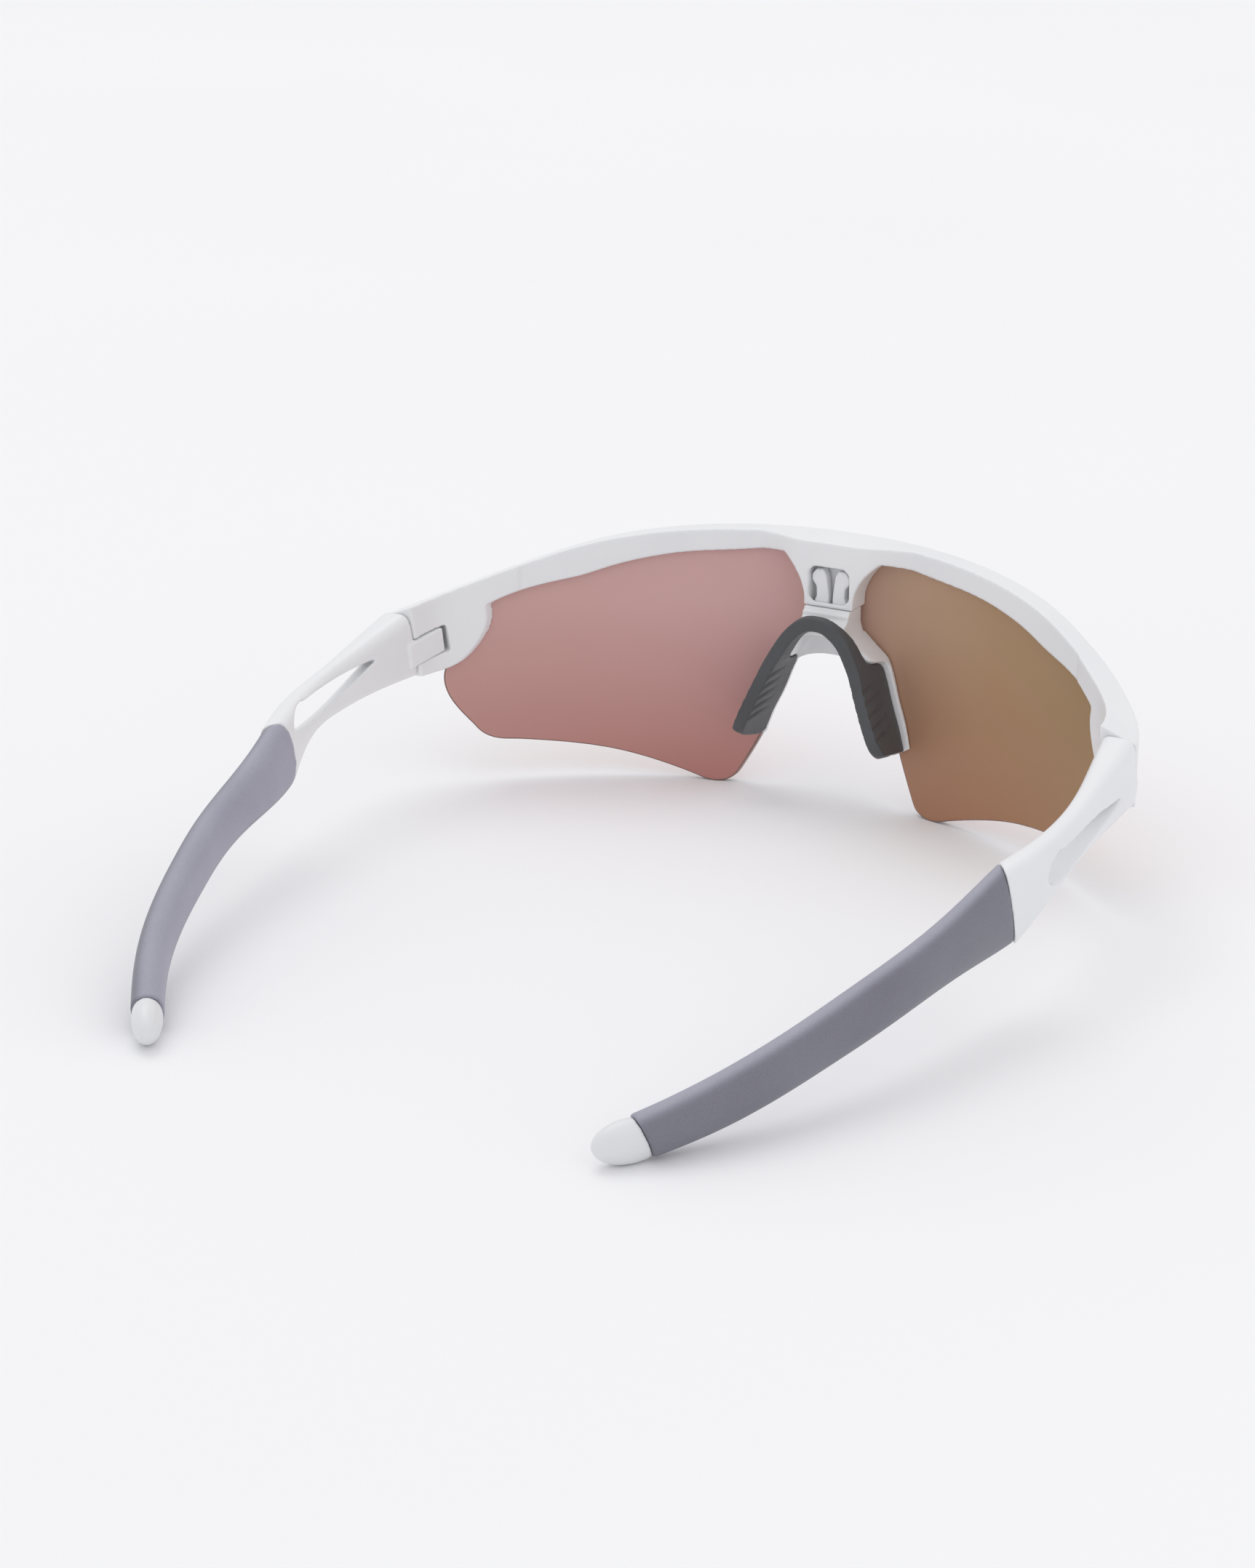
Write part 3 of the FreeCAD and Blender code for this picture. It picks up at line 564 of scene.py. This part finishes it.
def make_lens(materials):
    mesh = lens_mesh()
    solid = bmesh.new()
    solid.from_mesh(mesh)
    bmesh.ops.recalc_face_normals(solid, faces=solid.faces)
    solid.to_mesh(mesh)
    solid.free()
    mesh.shade_smooth()
    for material in materials:
        mesh.materials.append(material)
    piece = new_object("lens_shield", mesh)
    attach(piece, "front")
    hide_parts("shield_lens")


# ---------------------------------------------------------------- frame and nose piece

# where each wing of the bracket leaves its saddle
SHOULDER_SIDE = 8.0 * MM
SHOULDER_HEIGHT = 29.5 * MM
SHOULDER_REACH = 5.0 * MM
SHOULDER_STEPS = 50

# grooves across the flanks of the pad's legs
RIB_PITCH = 2.0 * MM
RIB_DEPTH = 0.38 * MM
RIB_LOW = 15.0 * MM
RIB_HIGH = 25.0 * MM
RIB_SLOPE = 0.148
RIB_REAR = (8.0 - DRAWN_CENTRE) * MM
RIB_FRONT = (1.5 - DRAWN_CENTRE) * MM
RIB_FADE = 0.3 * RIB_PITCH
RIB_FRONT_FADE = 2 * RIB_PITCH
# sideways part of a normal where the grooves begin, and how much more brings them to full depth
FLANK_START = 0.6
FLANK_SPAN = 0.3


def make_front_frame(material):
    piece = copy_of("front_frame", "brow_frame")
    soften(piece, "front_frame")
    finish_piece(piece, "front", "front_frame", material)


def relax_shoulders(piece):
    """Rounds the bracket further where each wing leaves the saddle."""
    shoulders = piece.vertex_groups.new(name="shoulders")
    points = coordinates(piece.data)
    apart = np.hypot(np.abs(points[:, 0]) - SHOULDER_SIDE, points[:, 2] - SHOULDER_HEIGHT)
    weights = np.clip(1.0 - apart / SHOULDER_REACH, 0.0, 1.0)
    for index in np.flatnonzero(weights > 0):
        shoulders.add([int(index)], float(weights[index]), "REPLACE")
    relaxed(piece, SHOULDER_STEPS, shoulders.name)


def make_nose_bracket(material):
    piece = copy_of("nose_bracket", "nose_bracket_shell")
    soften(piece, "nose_bracket")
    relax_shoulders(piece)
    finish_piece(piece, "front", "nose_bracket", material)


def ribbed(points):
    """How far a pad vertex sinks: grooves at an even pitch across the flanks of both legs."""
    height = points[:, 2] + RIB_SLOPE * (points[:, 1] - RIB_REAR)
    wave = 0.5 - 0.5 * np.cos(2 * np.pi * (height - RIB_LOW) / RIB_PITCH)
    fade = np.clip((height - RIB_LOW) / RIB_FADE, 0.0, 1.0)
    fade *= np.clip((RIB_HIGH - height) / RIB_FADE, 0.0, 1.0)
    fade *= np.clip((points[:, 1] - RIB_FRONT) / RIB_FRONT_FADE, 0.0, 1.0)
    return RIB_DEPTH * wave ** 2 * fade


def make_nose_pad(material):
    piece = copy_of("nose_pad", "nose_pad_rubber")
    soften(piece, "nose_pad")
    points = coordinates(piece.data)
    normals = np.empty(len(points) * 3)
    piece.data.vertices.foreach_get("normal", normals)
    normals = normals.reshape(-1, 3)
    flank = np.clip((np.abs(normals[:, 0]) - FLANK_START) / FLANK_SPAN, 0.0, 1.0)
    points -= normals * (ribbed(points) * flank)[:, None]
    set_coordinates(piece.data, points)
    finish_piece(piece, "front", "nose_pad", material)


# ---------------------------------------------------------------- temples


def make_temple(label, nylon, rubber, tip_nylon):
    body = label + "_temple"
    arm = copy_of(body + "_arm", label + "_arm_blade")
    soften(arm, "arm")
    finish_piece(arm, body, body + "_arm", nylon)
    sleeve = copy_of(body + "_sleeve", label + "_sleeve_rubber")
    soften(sleeve, "sleeve")
    finish_piece(sleeve, body, body + "_sleeve", rubber)
    tip = copy_of(body + "_tip", label + "_tip_egg")
    soften(tip, "tip")
    finish_piece(tip, body, body + "_tip", tip_nylon)


def finish_screw(label, material):
    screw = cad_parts[label + "_hinge_screw"]
    screw.data.materials.clear()
    screw.data.materials.append(material)


# ---------------------------------------------------------------- assembly

add_camera()
add_light()
add_floor()

nylon = nylon_material("white_nylon", (0.84, 0.845, 0.855), (0.80, 0.805, 0.82))
bracket_nylon = nylon_material("white_bracket_nylon", (0.83, 0.835, 0.845), (0.79, 0.795, 0.81))
tip_nylon = nylon_material("white_tip_nylon", (0.77, 0.775, 0.785), (0.73, 0.735, 0.75))
# painted light: the sleeves' faces towards the head and the sky are painted 1.85 times lighter, as
# if lit
sleeve_rubber = rubber_material("sleeve_rubber", (0.208, 0.206, 0.248), (0.182, 0.18, 0.22),
                                0.5, 0.62, painted_light_tone=1.85)
pad_rubber = rubber_material("pad_rubber", (0.078, 0.081, 0.088), (0.06, 0.062, 0.067),
                             0.5, 0.65)

make_front_frame(nylon)
make_lens((lens_rear_material(), lens_front_material(), lens_edge_material()))
make_nose_bracket(bracket_nylon)
make_nose_pad(pad_rubber)
steel = steel_material()
for side_label in SIDES:
    finish_screw(side_label, steel)
    make_temple(side_label, nylon, sleeve_rubber, tip_nylon)
